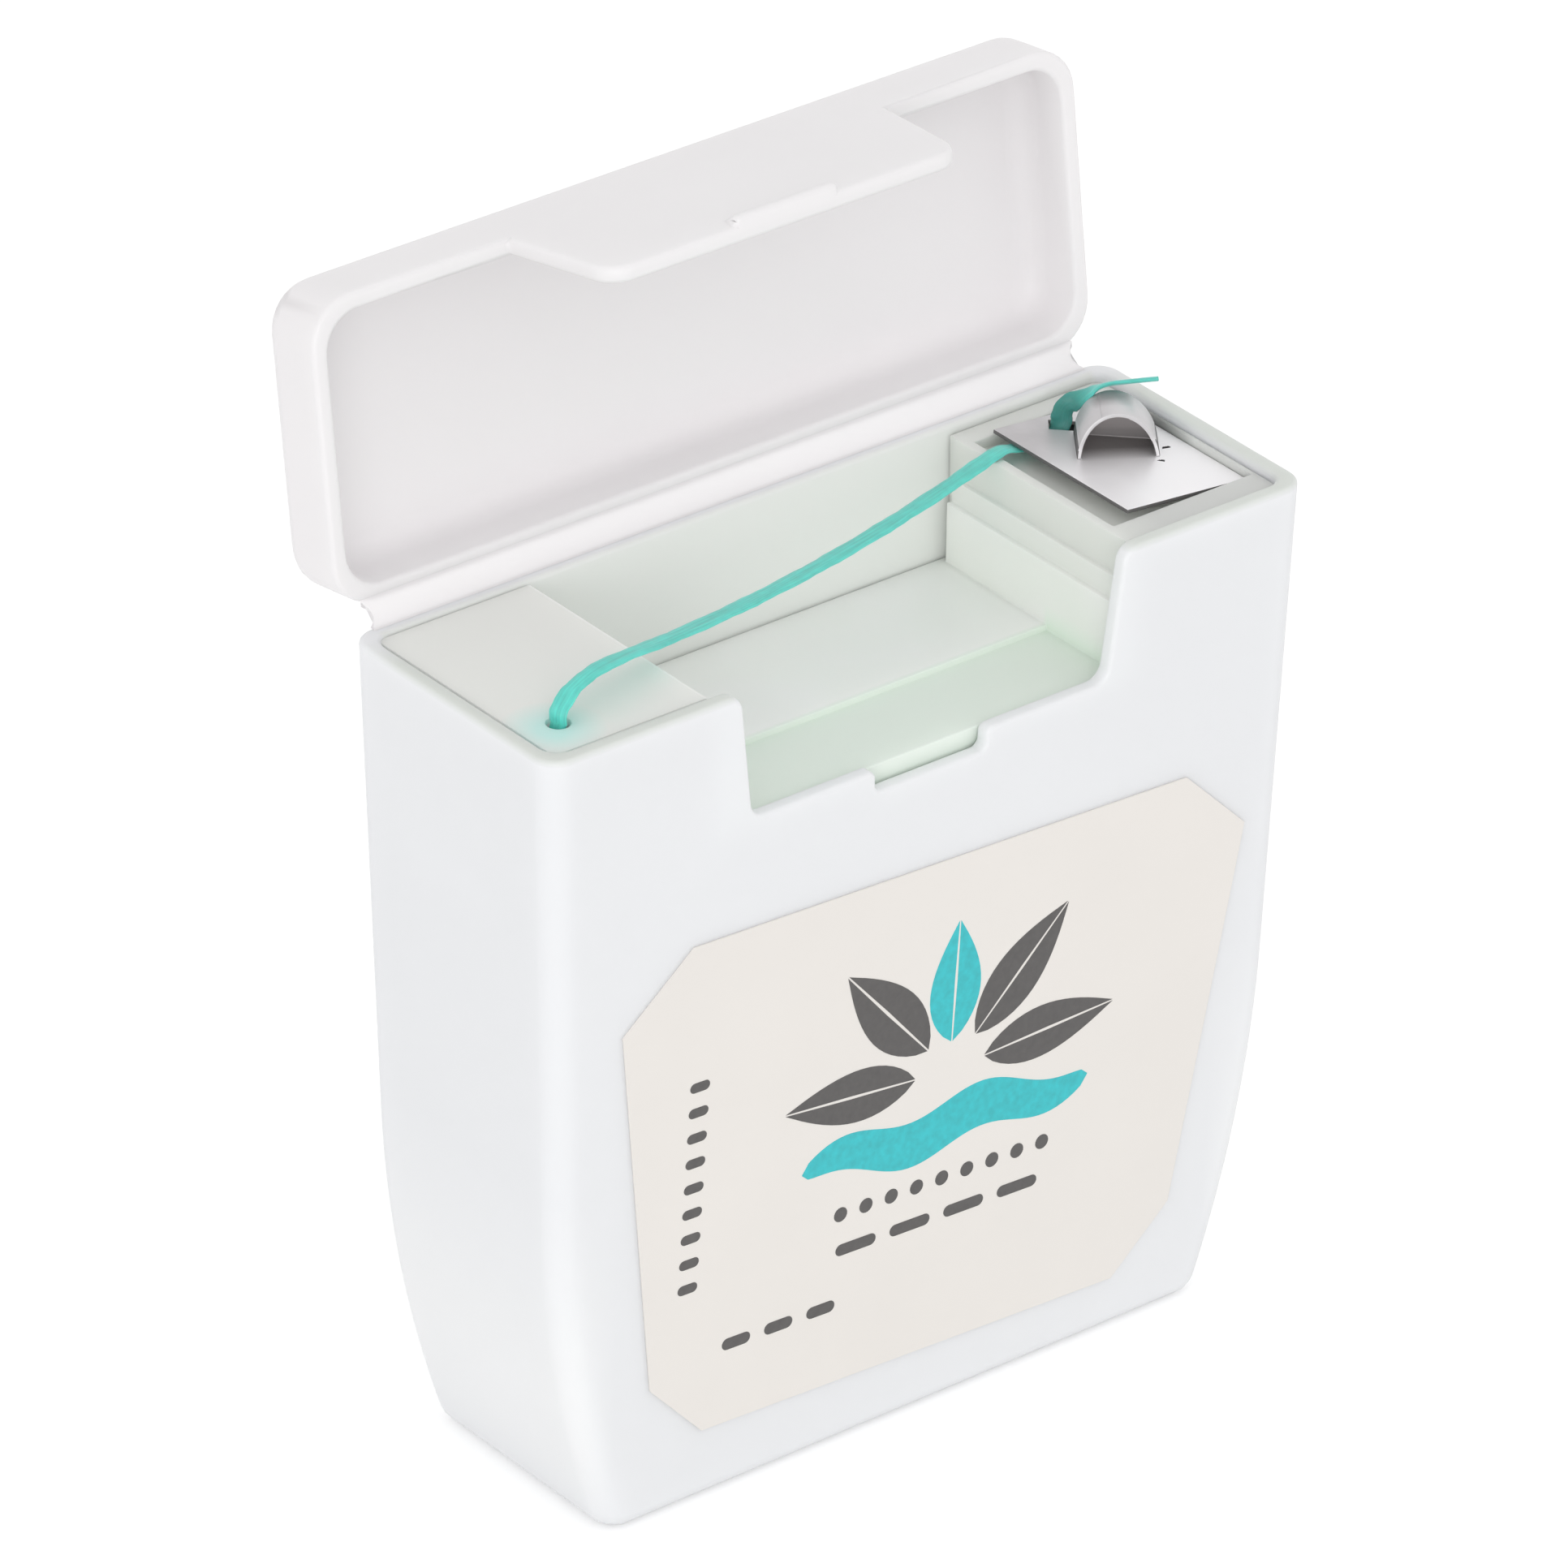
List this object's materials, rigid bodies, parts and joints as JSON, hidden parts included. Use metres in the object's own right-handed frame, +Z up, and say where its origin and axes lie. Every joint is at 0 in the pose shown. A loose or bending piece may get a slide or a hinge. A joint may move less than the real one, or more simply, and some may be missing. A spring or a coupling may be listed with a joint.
{
  "type": "dental floss dispenser",
  "caption": "Flat upright plastic case with a flip-top lid on a living hinge, an insert with a floss outlet and steel cutter, and a bobbin of floss inside.",
  "frame": {"origin": "middle of the case's flat base, on the surface that it stands on", "axes": "+X to the right seen from the front, +Y from the front wall with the label to the back wall with the hinge, +Z up"},
  "size_m": [0.0426, 0.0207, 0.0573],
  "materials": {
    "case_plastic": "translucent white polypropylene, satin",
    "lid_plastic": "translucent white polypropylene, satin",
    "hinge_plastic": "translucent white polypropylene, thin flexing web",
    "insert_plastic": "translucent pale green-grey polypropylene, satin",
    "cutter_steel": "stamped sheet, satin",
    "bobbin_plastic": "moulded, natural white",
    "floss_waxed": "waxed flat ribbon, mint green",
    "label_paper": "smooth sticker stock"
  },
  "bodies": {
    "case_body": {"case": "case_plastic", "insert": "insert_plastic", "cutter_plate": "cutter_steel", "floss_feed": "floss_waxed", "floss_strand": "floss_waxed", "front_label": "label_paper", "living_hinge": "hinge_plastic"},
    "lid_body": {"lid": "lid_plastic"},
    "bobbin_body": {"bobbin_core": "bobbin_plastic", "floss_winding": "floss_waxed"}
  },
  "joints": [
    {"name": "lid_hinge", "type": "hinge", "parent": "case_body", "child": "lid_body", "pos_m": [0, 0.0078, 0.04132], "axis": [1, 0, 0], "range_deg": [-82, 98], "deforming": ["living_hinge"]},
    {"name": "bobbin_spin", "type": "hinge", "parent": "case_body", "child": "bobbin_body", "pos_m": [-0.0011, 0, 0.017], "axis": [0, 1, 0], "continuous": true}
  ]
}
